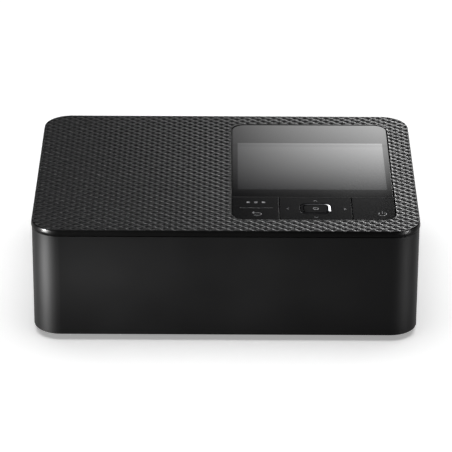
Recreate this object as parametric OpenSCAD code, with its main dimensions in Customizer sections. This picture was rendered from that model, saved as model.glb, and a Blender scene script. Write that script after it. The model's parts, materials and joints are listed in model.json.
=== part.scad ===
// Compact photo printer: a dye film and a heated strip print a card that is fed from the front.
// X runs to the right, Y to the rear and Z up. The origin is on the table, under the middle.

/* [Casing] */
// Overall width, across the lip of the top cover
body_w = 182.2; // [182:0.2:190]
// Overall depth, across the lip of the top cover
body_d = 133; // [133:0.5:140]
// Overall height, from the table to the top face
body_h = 57.6; // [57.4:0.2:66]
// Plan radius of the upright corners
corner_r = 13.5; // [12.5:0.5:15]
// Height of the polished lip round the top cover
lip_h = 2.8; // [2.4:0.1:3]
// How far the lip stands out past the walls
lip_out = 0.3; // [0.1:0.05:0.5]
// Wall thickness of the mouldings
wall = 2.2; // [2:0.1:2.4]
// Seam between two mouldings
seam = 0.4; // [0.3:0.05:0.5]
// Gap between a rim and the wall it fits in
rim_gap = 0.3; // [0.15:0.05:0.4]
// Height of the lower edge of the walls above the table
skirt_z = 3.3; // [3.2:0.1:4]
// Height of the rubber feet
foot_h = 2.6; // [2.2:0.1:3]
// Thickness of the floor of the base
floor_t = 1.5; // [1.2:0.1:1.8]
// Radius of the round feet
foot_r = 6; // [4:0.5:8]

/* [Control panel] */
// Width of the glossy panel
panel_w = 76.9; // [76.5:0.1:77.5]
// Depth of the glossy panel
panel_d = 108.7; // [108:0.1:109.5]
// Margin between the panel and the right side of the body
panel_side = 11.3; // [10.5:0.1:12.5]
// Margin between the panel and the front of the body
panel_front = 13.3; // [12.8:0.1:14]
// Corner radius of the panel
panel_r = 6.5; // [4:0.5:8]
// Depth of the row of keys
key_row_d = 24.2; // [23.5:0.1:24.8]
// Width of the menu key
menu_w = 22.2; // [20:0.1:23]
// Width of the power key
power_w = 20.1; // [18:0.1:21]
// Gap round each key
key_gap = 0.25; // [0.2:0.05:0.35]
// Width of the confirm key in the middle of the four-way key
ok_w = 11.8; // [10:0.1:12.5]
// Depth of the confirm key
ok_d = 8.8; // [8:0.1:9.2]
// Width of the bright ring round the confirm key
ok_ring_w = 1.2; // [0.9:0.1:1.5]
// How far a key travels
key_travel = 0.4; // [0.3:0.05:0.5]
// Thickness of the window and of the key caps
cap_t = 1.6; // [1.4:0.1:1.8]
// Width of the picture area of the screen
screen_w = 71.3; // [70:0.1:72]
// Depth of the picture area of the screen
screen_d = 53.6; // [52:0.1:55]
// Distance from the rear edge of the panel to the picture area
screen_back = 22; // [20:0.1:23]

/* [Covers] */
// How far the front cover wraps round the corners
cover_wrap = 10.5; // [9.5:0.1:10.5]
// Distance of the front hinge line behind the outer face of the cover
hinge_back = 5; // [5:0.05:5.2]
// Height of the front hinge line above the lower edge of the cover
hinge_up = 3.2; // [3:0.1:3.2]
// Radius of the pins of the front hinge
hinge_pin_r = 1; // [0.8:0.1:1.2]
// Height of the film door in the right side
door_h = 36; // [34:0.5:37]
// Height of the lower edge of the film door above the table
door_z = 12; // [11:0.5:13]
// Radius of the barrels that the film door and the rear flap turn on
barrel_r = 1.9; // [1.7:0.1:2]
// Radius of the pins of the film door and the rear flap
barrel_pin_r = 0.75; // [0.6:0.05:0.85]
// Height of the rear flap, from its lower edge to its hinge line
flap_h = 12; // [11:0.5:13]
// Width of the rear flap
flap_w = 110; // [104:1:112]

/* [Print mechanism] */
// Height of the card's path above the table
path_z = 18.5; // [18.2:0.1:19]
// Distance of the print line behind the middle of the body
print_y = 14; // [13.5:0.5:14.5]
// Radius of the rubber platen
platen_r = 6; // [5:0.1:6.2]
// Radius of the steel grip roller
grip_r = 4; // [3.8:0.1:4.2]
// Radius of the pinch roller
pinch_r = 3; // [2.6:0.1:3.2]
// Radius of the rubber pick-up tyres
pickup_r = 7.5; // [7:0.1:8]
// Radius of the roller journals
journal_r = 2.5; // [2.2:0.1:2.8]
// Radial running clearance of every journal and pin
run_gap = 0.05; // [0.03:0.01:0.08]
// Distance between the inner faces of the side plates
frame_w = 128; // [127:0.5:129]
// Thickness of the sheet-steel side plates
plate_t = 1.2; // [1:0.1:1.4]
// Distance between the two film spools
spool_pitch = 36; // [35.5:0.1:36.5]
// Height of the film spools above the card's path
spool_up = 11.6; // [11.6:0.1:11.8]
// Outer radius of the tubes of the film case
case_r = 11; // [10.8:0.1:11.1]
// Wall of the tubes of the film case
case_t = 1.2; // [1:0.1:1.3]
// Radius of the unused film on its spool
supply_r = 8.5; // [6:0.1:9]
// Radius of the used film on its spool
used_r = 5.6; // [5.4:0.1:9]
// Angle through which the head swings down to print
head_swing = 8; // [7:0.5:8]
// Thickness of the head's ceramic strip
head_t = 1.2; // [1:0.1:1.5]

/* [Gears] */
// Gear module: pitch diameter over number of teeth
gear_m = 0.8; // [0.79:0.01:0.81]
// Face width of the gears
gear_w = 4; // [3:0.5:4.5]
// Play between meshing teeth at the pitch circle
backlash = 0.2; // [0.16:0.02:0.26]
// Length of the motor cans
motor_l = 12; // [10:0.1:12.4]

/* [Hidden] */
$fn = 64;
// colours of the mouldings and metals
black = [0.06, 0.06, 0.065];
satin = [0.11, 0.11, 0.115];
gloss = [0.02, 0.02, 0.025];
steel = [0.62, 0.63, 0.65];
white_plastic = [0.85, 0.85, 0.82];
rubber = [0.05, 0.05, 0.05];
green_board = [0.05, 0.25, 0.12];
// casing
side_x = body_w / 2 - lip_out;
face_y = body_d / 2 - lip_out;
wall_r = corner_r - lip_out;
in_x = side_x - wall;
in_y = face_y - wall;
lip_z = body_h - lip_h;
wall_top = lip_z - seam;
plate_z = body_h - wall;
floor_z = foot_h + floor_t;
cover_y = cover_wrap - body_d / 2;
hinge_y = hinge_back - face_y;
hinge_z = skirt_z + hinge_up;
lug_r = hinge_back - wall - 0.4;
lug_t = 3;
lug_x = side_x - 10.8;
ear_x = lug_x - lug_t - 1;
tray_y = cover_y + seam + rim_gap;
post_x = in_x - 6.6;
post_y = in_y - 6.5;
post_front_x = in_x - 5.6;
post_front_y = tray_y + 4.3;
post_r = 2.8;
screw_r = 1.2;
head_r = 2.4;
rim_h = 7.5;
rim_t = 1.6;
label_w = 64;
label_d = 28;
foot_x = side_x - 18.8;
foot_y0 = tray_y + 9.3;
foot_y1 = in_y - 12;
bezel_y = tray_y + 1.9;
bezel_t = 1.8;
collar_d = 5.4;
collar_t = 1.5;
mouth_x = 57;
mouth_z = 30;
// control panel
panel_x = body_w / 2 - panel_side - panel_w / 2;
panel_y = panel_front + panel_d / 2 - body_d / 2;
panel_top = body_h - 0.2;
cap_z = panel_top - cap_t;
key_y0 = panel_y - panel_d / 2;
key_y1 = key_y0 + key_row_d;
nav_x0 = panel_x - panel_w / 2 + menu_w + key_gap;
nav_x1 = panel_x + panel_w / 2 - power_w - key_gap;
nav_x = (nav_x0 + nav_x1) / 2;
nav_y = (key_y0 + key_y1) / 2;
ok_r = 2.2;
screen_y = panel_y + panel_d / 2 - screen_back - screen_d / 2;
sheet_t = 0.8;
membrane_z = cap_z - 2.2;
web_z = cap_z - 1.2;
web_t = 0.7;
stem_z = membrane_z + key_travel + 0.3;
side_stem = 14;
rear_stem = 8.5;
rear_stem_x = 3.4;
rock_stem = 10.4;
menu_stem = 7;
menu_x = panel_x - panel_w / 2 + menu_w / 2;
power_x = panel_x + panel_w / 2 - power_w / 2;
well_in = 1.2;
well_back = 1.5;
well_gap = 0.2;
board_t = 1.2;
switch_z = membrane_z - sheet_t - 1.4 - board_t;
frame_z = switch_z;
lcd_t = cap_z - switch_z - 1;
// mechanism
plate_x = frame_w / 2;
gear_x = -plate_x - plate_t - 1.2 - gear_w;
bracket_x = gear_x - 1.2 - plate_t;
motor_x = bracket_x - motor_l;
grip_n = 22;
pinion_n = 12;
pickup_n = 32;
takeup_n = 30;
cam_n = 16;
grip_y = -18;
grip_z = path_z - grip_r;
pinch_z = path_z + 0.2 + pinch_r;
pickup_z = path_z + 0.5 + pickup_r;
pickup_a = asin((pickup_z - grip_z) / (gear_m * (grip_n + pickup_n) / 2));
pickup_y = grip_y - gear_m * (grip_n + pickup_n) / 2 * cos(pickup_a);
feed_a = 62;
feed_y = grip_y + gear_m * (grip_n + pinion_n) / 2 * cos(feed_a);
feed_z = grip_z + gear_m * (grip_n + pinion_n) / 2 * sin(feed_a);
platen_z = path_z - platen_r;
spool_z = path_z + spool_up;
supply_y = print_y - spool_pitch / 2;
takeup_y = print_y + spool_pitch / 2;
film_a = -62;
film_y = takeup_y + gear_m * (takeup_n + pinion_n) / 2 * cos(film_a);
film_z = spool_z + gear_m * (takeup_n + pinion_n) / 2 * sin(film_a);
pivot_y = takeup_y + 12;
pivot_z = spool_z + 14.4;
pivot_r = 2;
pinch_pin_r = 1.5;
boss_r = 2.9;
stub_r = 1.5;
spool_r = 3.5;
end_t = 1.6;
cam_y = pivot_y + 8;
cam_z = pivot_z - 8.6;
cam_r = 4.6;
cam_rise = 1;
cam_turn = 120;
head_a = 120;
head_y = cam_y + gear_m * (cam_n + pinion_n) / 2 * cos(head_a);
head_z = cam_z + gear_m * (cam_n + pinion_n) / 2 * sin(head_a);
case_x = 56;
arm_x = plate_x - 3;
arm_z = spool_z + case_r + 1.4;
bay_x = plate_x + plate_t;
board_x0 = bay_x + 1.3;
board_x1 = in_x - rim_gap - 2.2;
board_z = floor_z + 2;
board_y0 = grip_y - 20;
board_y1 = in_y - 14;
tab_y = in_y - 6;
pillar_in = 3;
pillar_y0 = board_y0 + 4;
pillar_y1 = board_y1 - 6;
jack_x = plate_x - 3.4;
jack_y = in_y - 13;
jack_r = 3.2;
jack_z = board_z + board_t + 4.6;
usb_x = jack_x + 10.9;
usb_y = in_y - 7.5;
usb_z = board_z + board_t + 1.65;
usb_w = 9;
usb_h = 3.3;
lever_y = supply_y - 16;
lever_z = spool_z - 2.1;
stud_r = 1.5;
head_x = case_x - 2;
film_x = case_x - 4;
// covers
door_y = takeup_y + case_r + 6;
door_x = side_x - barrel_r;
door_y0 = supply_y - case_r - 2;
knuckle = 5;
flap_y = face_y - barrel_r;
flap_z0 = path_z - 4.9;
flap_z = flap_z0 + flap_h;
card_w = 24;
card_h = 2.6;
card_y = door_y0 - 16.2;
card_z = path_z + 3.3;

function inv_angle(r, base) = sqrt(pow(r / base, 2) - 1) * 180 / PI - acos(base / r);
function mesh_phase(phi, na, nb, a) = a + 180 - (phi - a) * na / nb - 180 / nb;

// a rectangle with round corners
module rounded(w, d, r) {
  square([w - 2 * r, d], center = true);
  square([w, d - 2 * r], center = true);
  for (i = [-1, 1], j = [-1, 1])
    translate([i * (w / 2 - r), j * (d / 2 - r)]) circle(r);
}

// plan of the walls, drawn in by a distance
module plan(inset) {
  rounded(2 * (side_x - inset), 2 * (face_y - inset), wall_r - inset);
}

// an extrusion along X of a profile drawn in Y and Z
module along_x(x0, x1) {
  translate([x0, 0, 0]) rotate([90, 0, 90]) linear_extrude(x1 - x0) children();
}

module rod_x(x0, x1, y, z, r) {
  translate([x0, y, z]) rotate([0, 90, 0]) cylinder(r = r, h = x1 - x0);
}

module post(x, y, z0, z1, r) {
  translate([x, y, z0]) cylinder(r = r, h = z1 - z0);
}

module box(x0, x1, y0, y1, z0, z1) {
  translate([x0, y0, z0]) cube([x1 - x0, y1 - y0, z1 - z0]);
}

module case_posts() {
  for (i = [-1, 1]) {
    translate([i * post_x, post_y]) children();
    translate([i * post_front_x, post_front_y]) children();
  }
}

// an involute spur gear, centred on the origin
module gear2d(n, phase) {
  pitch = gear_m * n / 2;
  base = pitch * cos(20);
  tip = pitch + 0.9 * gear_m;
  root = pitch - 1.15 * gear_m;
  half = 90 / n - backlash / 4 / pitch * 180 / PI + inv_angle(pitch, base);
  radii = [for (i = [0:4]) max(base, root) + (tip - max(base, root)) * i / 4];
  flank = concat([[root * 0.97, half]], [for (r = radii) [r, half - inv_angle(r, base)]]);
  last = len(flank) - 1;
  circle(root);
  for (k = [0:n - 1])
    rotate(phase + k * 360 / n)
      polygon(concat([for (p = flank) [p[0] * cos(p[1]), -p[0] * sin(p[1])]],
        [for (i = [last:-1:0]) [flank[i][0] * cos(flank[i][1]), flank[i][0] * sin(flank[i][1])]]));
}

module gear_x_at(y, z, n, phase, r) {
  translate([0, y, z]) along_x(gear_x, gear_x + gear_w)
    difference() {
      gear2d(n, phase);
      circle(r);
    }
}

module base_tray() {
  color(satin)
  difference() {
    union() {
      translate([0, 0, foot_h]) linear_extrude(floor_t) intersection() {
        plan(wall + rim_gap);
        translate([-body_w, tray_y]) square([2 * body_w, body_d]);
      }
      // rim inside the walls
      translate([0, 0, foot_h]) linear_extrude(rim_h) difference() {
        intersection() {
          plan(wall + rim_gap);
          translate([-body_w, tray_y]) square([2 * body_w, body_d]);
        }
        plan(wall + rim_gap + rim_t);
      }
      // ears of the front hinge
      for (i = [-1, 1])
        along_x(i * ear_x - lug_t / 2, i * ear_x + lug_t / 2) {
          translate([hinge_y, hinge_z]) circle(lug_r);
          polygon([[hinge_y, hinge_z - lug_r], [tray_y + 4, hinge_z - lug_r], [tray_y + 4, floor_z + 6],
            [hinge_y, hinge_z + lug_r]]);
        }
      // pillars of the circuit board
      for (x = [board_x0 + pillar_in, board_x1 - pillar_in], y = [pillar_y0, pillar_y1])
        post(x, y, floor_z, board_z, 2 * screw_r);
      // sockets that the posts of the top cover stand in
      case_posts() translate([0, 0, floor_z]) difference() {
        cylinder(r = post_r + 1.3, h = 4);
        cylinder(r = post_r + run_gap, h = 5);
      }
      // stiffening ribs under the card store
      for (x = [-40:20:40]) box(x - 0.6, x + 0.6, bezel_y + collar_d + seam, grip_y - 8,
        floor_z - 0.1, floor_z + 1.2);
    }
    rod_x(-lug_x, lug_x, hinge_y, hinge_z, hinge_pin_r + run_gap);
    case_posts() {
      translate([0, 0, foot_h - 1]) cylinder(r = screw_r + 0.2, h = 9);
      translate([0, 0, foot_h - 1]) cylinder(r = head_r + 0.2, h = 1.8);
    }
    // notch in the rim for the sockets
    box(jack_x - 5.5, usb_x + 5.5, tab_y, body_d, board_z - 0.5, body_h);
    // bare place of the rating label
    box(-label_w / 2, label_w / 2, -label_d / 2, label_d / 2, foot_h - 1, foot_h + 0.3);
    // air slots under the motors
    for (i = [0:10])
      translate([-in_x + 2.6, feed_y - 8 + 5 * i, foot_h - 1]) cube([in_x - plate_x - 10.6, 2, floor_t + 2]);
  }
}

module outer_shell() {
  color(satin)
  difference() {
    union() {
      translate([0, 0, skirt_z]) linear_extrude(wall_top - skirt_z) difference() {
        plan(0);
        plan(wall);
        translate([-body_w, -body_d]) square([2 * body_w, body_d + cover_y + seam]);
      }
      // stop ribs behind the edges of the film door
      box(in_x - 1.2, in_x + 0.1, door_y0 - 2, door_y0 - seam, door_z, door_z + door_h);
    }
    // opening of the film door
    box(in_x - 2, side_x + 2, door_y0 - seam, door_y + barrel_r + seam, door_z - seam,
      door_z + door_h + seam);
    // opening of the rear flap
    box(-flap_w / 2 - seam, flap_w / 2 + seam, in_y - 1, face_y + 1, flap_z0 - seam,
      flap_z + barrel_r + seam);
    // memory card slot, power inlet and data socket
    translate([in_x - 1, card_y - card_w / 2 - 0.4, card_z - card_h / 2 - 0.2])
      cube([wall + 2, card_w + 0.8, card_h + 0.4]);
    translate([jack_x, in_y - 1, jack_z]) rotate([-90, 0, 0]) cylinder(r = jack_r + 0.7, h = wall + 2);
    translate([usb_x, in_y - 1, usb_z]) rotate([90, 0, 180]) linear_extrude(wall + 2)
      rounded(usb_w + 0.4, usb_h + 0.4, usb_h / 2);
    // air slots at the rear and on the left
    for (i = [0:5])
      translate([-in_x + 4.6 + 4 * i, in_y - 1, flap_z0 + 0.4])
        cube([1.8, wall + 2, wall_top - flap_z0 - 10.8]);
    for (i = [0:15])
      translate([-side_x - 1, feed_y - 10.4 + 4 * i, wall_top - 20.4]) cube([wall + 2, 1.8, 12]);
  }
  color(satin)
  difference() {
    union() {
      for (z = [door_z, door_z + door_h - knuckle]) {
        post(door_x, door_y, z, z + knuckle, barrel_r);
        box(door_x, side_x, door_y, door_y + barrel_r + seam, z, z + knuckle);
      }
      for (i = [-1, 1]) {
        rod_x(i * (flap_w / 2 - knuckle / 2) - knuckle / 2, i * (flap_w / 2 - knuckle / 2) + knuckle / 2,
          flap_y, flap_z, barrel_r);
        box(i * (flap_w / 2 - knuckle / 2) - knuckle / 2, i * (flap_w / 2 - knuckle / 2) + knuckle / 2,
          flap_y, face_y, flap_z, flap_z + barrel_r + seam);
      }
    }
    post(door_x, door_y, door_z - 1, door_z + door_h + 1, barrel_pin_r);
    rod_x(-flap_w, flap_w, flap_y, flap_z, barrel_pin_r);
  }
}

module top_cover() {
  color(black)
  difference() {
    union() {
      translate([0, 0, plate_z]) linear_extrude(wall) rounded(body_w, body_d, corner_r);
      // lip that stands round the walls
      translate([0, 0, lip_z]) linear_extrude(lip_h) difference() {
        rounded(body_w, body_d, corner_r);
        plan(wall + rim_gap + 1);
      }
      // rim that locates in the walls, open at the front cover
      translate([0, 0, wall_top - 2.6]) linear_extrude(plate_z - wall_top + 2.6) difference() {
        plan(wall + rim_gap);
        plan(wall + rim_gap + 1.4);
        translate([-body_w, -body_d]) square([2 * body_w, body_d + cover_y + seam + 2]);
      }
      // posts for the screws in the base
      case_posts() translate([0, 0, floor_z]) cylinder(r = post_r, h = plate_z - floor_z);
      // ribs that join the posts to the rim
      for (i = [-1, 1]) {
        box(i * post_x - 0.6, i * post_x + 0.6, post_y, post_y + 4.4, wall_top - 8, plate_z);
        box(min(i * post_front_x, i * (in_x - rim_gap)), max(i * post_front_x, i * (in_x - rim_gap)),
          post_front_y - 0.6, post_front_y + 0.6, wall_top - 8, plate_z);
      }
    }
    translate([panel_x, panel_y, plate_z - 3]) linear_extrude(wall + 4)
      rounded(panel_w + 2 * seam, panel_d + 2 * seam, panel_r + seam);
    case_posts() translate([0, 0, floor_z - 1]) cylinder(r = screw_r, h = 14);
  }
}

module front_cover() {
  color(satin)
  difference() {
    union() {
      translate([0, 0, skirt_z]) linear_extrude(wall_top - skirt_z) difference() {
        plan(0);
        plan(wall);
        translate([-body_w, cover_y]) square([2 * body_w, body_d]);
      }
      // hinge lugs with their pins
      for (i = [-1, 1]) {
        along_x(i * lug_x - lug_t / 2, i * lug_x + lug_t / 2) {
          translate([hinge_y, hinge_z]) circle(lug_r);
          translate([-in_y - 0.01, hinge_z - lug_r]) square([hinge_y + in_y + 0.01, 2 * lug_r]);
        }
        rod_x(min(i * (ear_x - 2), i * lug_x), max(i * (ear_x - 2), i * lug_x), hinge_y, hinge_z, hinge_pin_r);
      }
      // stiffening ribs and the two catches
      for (x = [-60:20:60]) box(x - 0.5, x + 0.5, -in_y - 0.01, -in_y + 1.4, 12, wall_top - 6);
      for (i = [-1, 1]) box(i * 46 - 4, i * 46 + 4, -in_y - 0.01, -in_y + 2, wall_top - 3, wall_top - 1.4);
    }
    // relief at the lower rear corners, clear of the walls while it swings
    for (i = [-1, 1])
      along_x(i * in_x - 12, i * in_x + 12) difference() {
        translate([hinge_y, skirt_z - 1]) square([9, hinge_up + 1]);
        translate([hinge_y, hinge_z]) circle(cover_y - hinge_y);
      }
  }
}

module front_bezel() {
  color(black)
  difference() {
    union() {
      box(1 + lug_t / 2 - ear_x, ear_x - lug_t / 2 - 1, bezel_y, bezel_y + bezel_t, floor_z, wall_top - 8);
      // collar of the card mouth
      box(-mouth_x - collar_t, mouth_x + collar_t, bezel_y, bezel_y + collar_d, floor_z, mouth_z + collar_t);
    }
    box(-mouth_x, mouth_x, bezel_y - 1, bezel_y + collar_d + 1, floor_z + collar_t + 0.1, mouth_z);
  }
}

module ink_door() {
  color(satin)
  difference() {
    union() {
      box(in_x, side_x, door_y0, door_y - barrel_r - seam, door_z, door_z + door_h);
      box(in_x, side_x, door_y - barrel_r - seam - 0.1, door_y, door_z + knuckle + seam,
        door_z + door_h - knuckle - seam);
      post(door_x, door_y, door_z + knuckle + seam, door_z + door_h - knuckle - seam, barrel_r);
      for (z = [door_z + 6, door_z + door_h - 7]) box(in_x - 1, in_x, door_y0 + 4, door_y - 9, z, z + 1);
    }
    post(door_x, door_y, door_z - 1, door_z + door_h + 1, barrel_pin_r + run_gap);
    // finger scoop
    translate([side_x + 5.2, door_y0 + 7, door_z + door_h / 2 - 7]) cylinder(r = 6, h = 14);
  }
}

module rear_flap() {
  color(satin)
  difference() {
    union() {
      box(-flap_w / 2, flap_w / 2, in_y, face_y, flap_z0, flap_z - barrel_r - seam);
      box(-flap_w / 2 + knuckle + seam, flap_w / 2 - knuckle - seam, in_y, face_y,
        flap_z - barrel_r - seam - 0.1, flap_z);
      rod_x(-flap_w / 2 + knuckle + seam, flap_w / 2 - knuckle - seam, flap_y, flap_z, barrel_r);
    }
    rod_x(-flap_w, flap_w, flap_y, flap_z, barrel_pin_r + run_gap);
    // groove along the lower edge for a fingertip
    translate([0, 0, flap_z0 + 2.5]) box(-12, 12, face_y - 0.6, face_y + 1, -1.2, 1.2);
  }
}

module ink_door_pin() {
  color(steel) post(door_x, door_y, door_z, door_z + door_h, barrel_pin_r);
}

module rear_flap_pin() {
  color(steel) rod_x(-flap_w / 2, flap_w / 2, flap_y, flap_z, barrel_pin_r);
}

module rubber_feet() {
  color(rubber)
  for (x = [-foot_x, foot_x], y = [foot_y0, foot_y1]) post(x, y, 0, foot_h, foot_r);
}

module base_screws() {
  color(steel)
  case_posts() translate([0, 0, foot_h + 0.8]) {
    cylinder(r = screw_r, h = 9);
    translate([0, 0, -0.8]) cylinder(r = head_r, h = 0.8);
  }
}

// plan of the panel, drawn in by a distance
module panel_plan(inset) {
  translate([panel_x, panel_y]) rounded(panel_w - 2 * inset, panel_d - 2 * inset, panel_r - inset);
}

// the part of the panel between two depths and two widths
module panel_part(x0, x1, y0, y1) {
  intersection() {
    panel_plan(0);
    translate([x0, y0]) square([x1 - x0, y1 - y0]);
  }
}

// plan of the well that holds the key switches, drawn in by a distance
module key_well(gap) {
  intersection() {
    panel_plan(well_in + gap);
    translate([panel_x - panel_w, key_y0]) square([2 * panel_w, key_row_d - well_back - gap]);
  }
}

module oval(w, d) {
  translate([nav_x, nav_y]) rounded(w, d, ok_r + (w - ok_w) / 2);
}

module panel_frame() {
  color(black)
  difference() {
    translate([0, 0, frame_z - 1.2]) linear_extrude(plate_z - frame_z + 1.2) panel_plan(-1);
    // well of the screen
    translate([0, 0, frame_z]) linear_extrude(wall * 4)
      translate([panel_x - screen_w / 2 - 2, screen_y - screen_d / 2 - 3]) square([screen_w + 4, screen_d + 6]);
    // well of the keys
    translate([0, 0, frame_z]) linear_extrude(wall * 4) key_well(0);
    // seat of the window, lower under the keys by their travel
    translate([0, 0, cap_z]) linear_extrude(wall * 4) panel_plan(-0.2);
    translate([0, 0, cap_z - key_travel - 0.45]) linear_extrude(wall * 4) intersection() {
      panel_plan(-0.2);
      translate([panel_x - panel_w, key_y0 - 1]) square([2 * panel_w, key_row_d + 1 + key_gap]);
    }
    // way for the cable
    box(panel_x + 18, panel_x + 30, key_y0 + 2, key_y0 + 4, frame_z - 3, frame_z + 1);
  }
}

module display_window() {
  color(gloss)
  translate([0, 0, cap_z]) linear_extrude(cap_t)
    panel_part(panel_x - panel_w, panel_x + panel_w, key_y1 + key_gap, panel_y + panel_d);
}

module lcd_module() {
  color([0.3, 0.32, 0.35])
  difference() {
    translate([panel_x - screen_w / 2 - 1.8, screen_y - screen_d / 2 - 2.8, frame_z])
      cube([screen_w + 3.6, screen_d + 5.6, lcd_t]);
    translate([panel_x - screen_w / 2, screen_y - screen_d / 2, frame_z + lcd_t - 0.4])
      cube([screen_w, screen_d, 1]);
  }
}

// a key cap with its stem down to the switch sheet
module key_cap(x0, x1, y0, y1) {
  translate([0, 0, cap_z]) linear_extrude(cap_t) panel_part(x0, x1, y0, y1);
  post((x0 + x1) / 2, (y0 + y1) / 2, stem_z, cap_z, 1.6);
}

module menu_key() {
  color(gloss)
  union() {
    translate([0, 0, cap_z]) linear_extrude(cap_t)
      panel_part(panel_x - panel_w, nav_x0 - key_gap, key_y0, key_y1);
    for (y = [nav_y - menu_stem, nav_y + menu_stem]) post(menu_x, y, stem_z, cap_z, 1.4);
    // the rib that it rocks on
    rod_x(menu_x - menu_w / 2 + 1.4, menu_x + menu_w / 2 - 2, nav_y, cap_z - 0.4, 0.6);
  }
}

module nav_web() {
  color(black)
  translate([0, 0, web_z]) linear_extrude(web_t) difference() {
    union() {
      translate([nav_x, nav_y]) square([ok_w + 12, ok_d + 6], center = true);
      translate([nav_x, nav_y]) square([3, key_row_d - 3.2], center = true);
    }
    oval(ok_w + 2 * ok_ring_w + 1.6, ok_d + 2 * ok_ring_w + 1.6);
  }
}

module nav_key() {
  color(gloss)
  difference() {
    union() {
      translate([0, 0, cap_z]) linear_extrude(cap_t) panel_part(nav_x0, nav_x1, key_y0, key_y1);
      for (a = [-1, 1]) {
        post(nav_x + a * side_stem, nav_y, stem_z, cap_z, 1.4);
        post(nav_x + rear_stem_x, nav_y + a * rear_stem, stem_z, cap_z, 1);
        post(nav_x + a * rock_stem, nav_y, web_z + web_t + 0.1, cap_z, 1);
      }
    }
    translate([0, 0, cap_z - 1]) linear_extrude(cap_t + 2)
      oval(ok_w + 2 * ok_ring_w + 2 * key_gap, ok_d + 2 * ok_ring_w + 2 * key_gap);
  }
}

module ok_ring() {
  color(steel)
  translate([0, 0, membrane_z + 1.6]) difference() {
    linear_extrude(panel_top - membrane_z - 1.8) oval(ok_w + 2 * ok_ring_w, ok_d + 2 * ok_ring_w);
    translate([0, 0, -1]) linear_extrude(wall * 4) oval(ok_w, ok_d);
  }
}

module ok_key() {
  color(gloss) {
    translate([0, 0, cap_z]) linear_extrude(cap_t) oval(ok_w - 2 * key_gap, ok_d - 2 * key_gap);
    post(nav_x, nav_y, stem_z, cap_z, 1.6);
  }
}

module power_key() {
  color(gloss) key_cap(nav_x1 + key_gap, panel_x + panel_w / 2, key_y0, key_y1);
}

module key_membrane() {
  color([0.7, 0.7, 0.7])
  translate([0, 0, membrane_z - sheet_t]) {
    linear_extrude(sheet_t) key_well(well_gap);
    // pads that carry the ring
    for (i = [-1, 1]) post(nav_x + i * (ok_w + ok_ring_w) / 2, nav_y, 0, sheet_t + 1.6, 0.55);
  }
}

module tact_switches() {
  color(steel)
  for (p = [[menu_x, nav_y - menu_stem], [menu_x, nav_y + menu_stem], [nav_x - side_stem, nav_y],
      [nav_x + side_stem, nav_y], [nav_x, nav_y], [nav_x + rear_stem_x, nav_y + rear_stem],
      [nav_x + rear_stem_x, nav_y - rear_stem], [power_x, nav_y]])
    translate([p[0], p[1], switch_z + board_t]) {
      translate([-2, -2, 0]) cube([4, 4, 0.9]);
      cylinder(r = 1.1, h = membrane_z - sheet_t - switch_z - board_t);
    }
}

module switch_board() {
  color(green_board)
  difference() {
    translate([0, 0, switch_z]) linear_extrude(board_t) key_well(well_gap);
    box(panel_x + 18, panel_x + 30, key_y0 + 1, key_y0 + 4, frame_z - 3, frame_z + 3);
  }
}

module card_socket() {
  color(steel)
  difference() {
    translate([board_x0, card_y - card_w / 2 - 1.4, card_z - card_h / 2 - 1.2])
      cube([in_x - board_x0, card_w + 2.8, card_h + 2.4]);
    translate([board_x0 + 1, card_y - card_w / 2, card_z - card_h / 2]) cube([in_x - board_x0, card_w, card_h]);
  }
}

module main_board() {
  color(green_board)
  difference() {
    union() {
      box(board_x0, board_x1, board_y0, board_y1, board_z, board_z + board_t);
      box(jack_x - 5, usb_x + 5, board_y1 - 1, tab_y, board_z, board_z + board_t);
    }
    for (x = [board_x0 + pillar_in, board_x1 - pillar_in], y = [pillar_y0, pillar_y1])
      post(x, y, board_z - 1, board_z + 3, screw_r);
  }
}

module board_parts() {
  color([0.1, 0.1, 0.1])
  translate([board_x0, board_y0, board_z + board_t]) {
    box(5, 15, 42, 52, 0, 1.2);
    box(6, 14, 26, 34, 0, 1);
    box(3, 17, 7, 11, 0, 4.4);
    box(3, 8, 15, 18.5, 0, 1.4);
    box(15.4, 18, 40, 54, 0, 2.8);
    post(13.5, 19.5, 0, 3.2, 3);
    for (y = [60, 72]) post(7, y, 0, 5.5, 3);
    for (y = [58:5:73]) box(13, 16, y, y + 2, 0, 1);
  }
}

module dc_jack() {
  color(gloss)
  difference() {
    box(jack_x - 4.5, jack_x + 4.5, jack_y, in_y, board_z + board_t, board_z + board_t + 9.2);
    translate([jack_x, jack_y + 2, jack_z]) rotate([-90, 0, 0]) cylinder(r = jack_r, h = in_y - jack_y);
  }
  color(steel) translate([jack_x, jack_y + 1, jack_z]) rotate([-90, 0, 0])
    cylinder(r = 0.8, h = in_y - jack_y - 3);
}

module usb_socket() {
  color(steel)
  translate([usb_x, usb_y, usb_z]) rotate([90, 0, 180]) difference() {
    linear_extrude(in_y - usb_y) rounded(usb_w, usb_h, usb_h / 2 - 0.05);
    translate([0, 0, 1]) linear_extrude(in_y) rounded(usb_w - 0.7, usb_h - 0.7, usb_h / 2 - 0.4);
  }
  color(black) box(usb_x - 3.2, usb_x + 3.2, usb_y + 0.9, in_y - 1.5, usb_z - 0.35, usb_z + 0.35);
}

// outline of a side plate in Y and Z
module plate_outline() {
  polygon([[pickup_y - 9, floor_z], [pivot_y, floor_z], [pivot_y, path_z - 0.5], [cam_y + 5, path_z + 7.5],
    [cam_y + 5, pivot_z + 3.5], [pivot_y - 6, pivot_z + 3.5], [takeup_y - 2, spool_z + case_r + 2.9],
    [grip_y + 2, spool_z + case_r + 2.9], [grip_y - 6, pickup_z + 10.5], [pickup_y - 9, pickup_z + 10.5]]);
}

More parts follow.
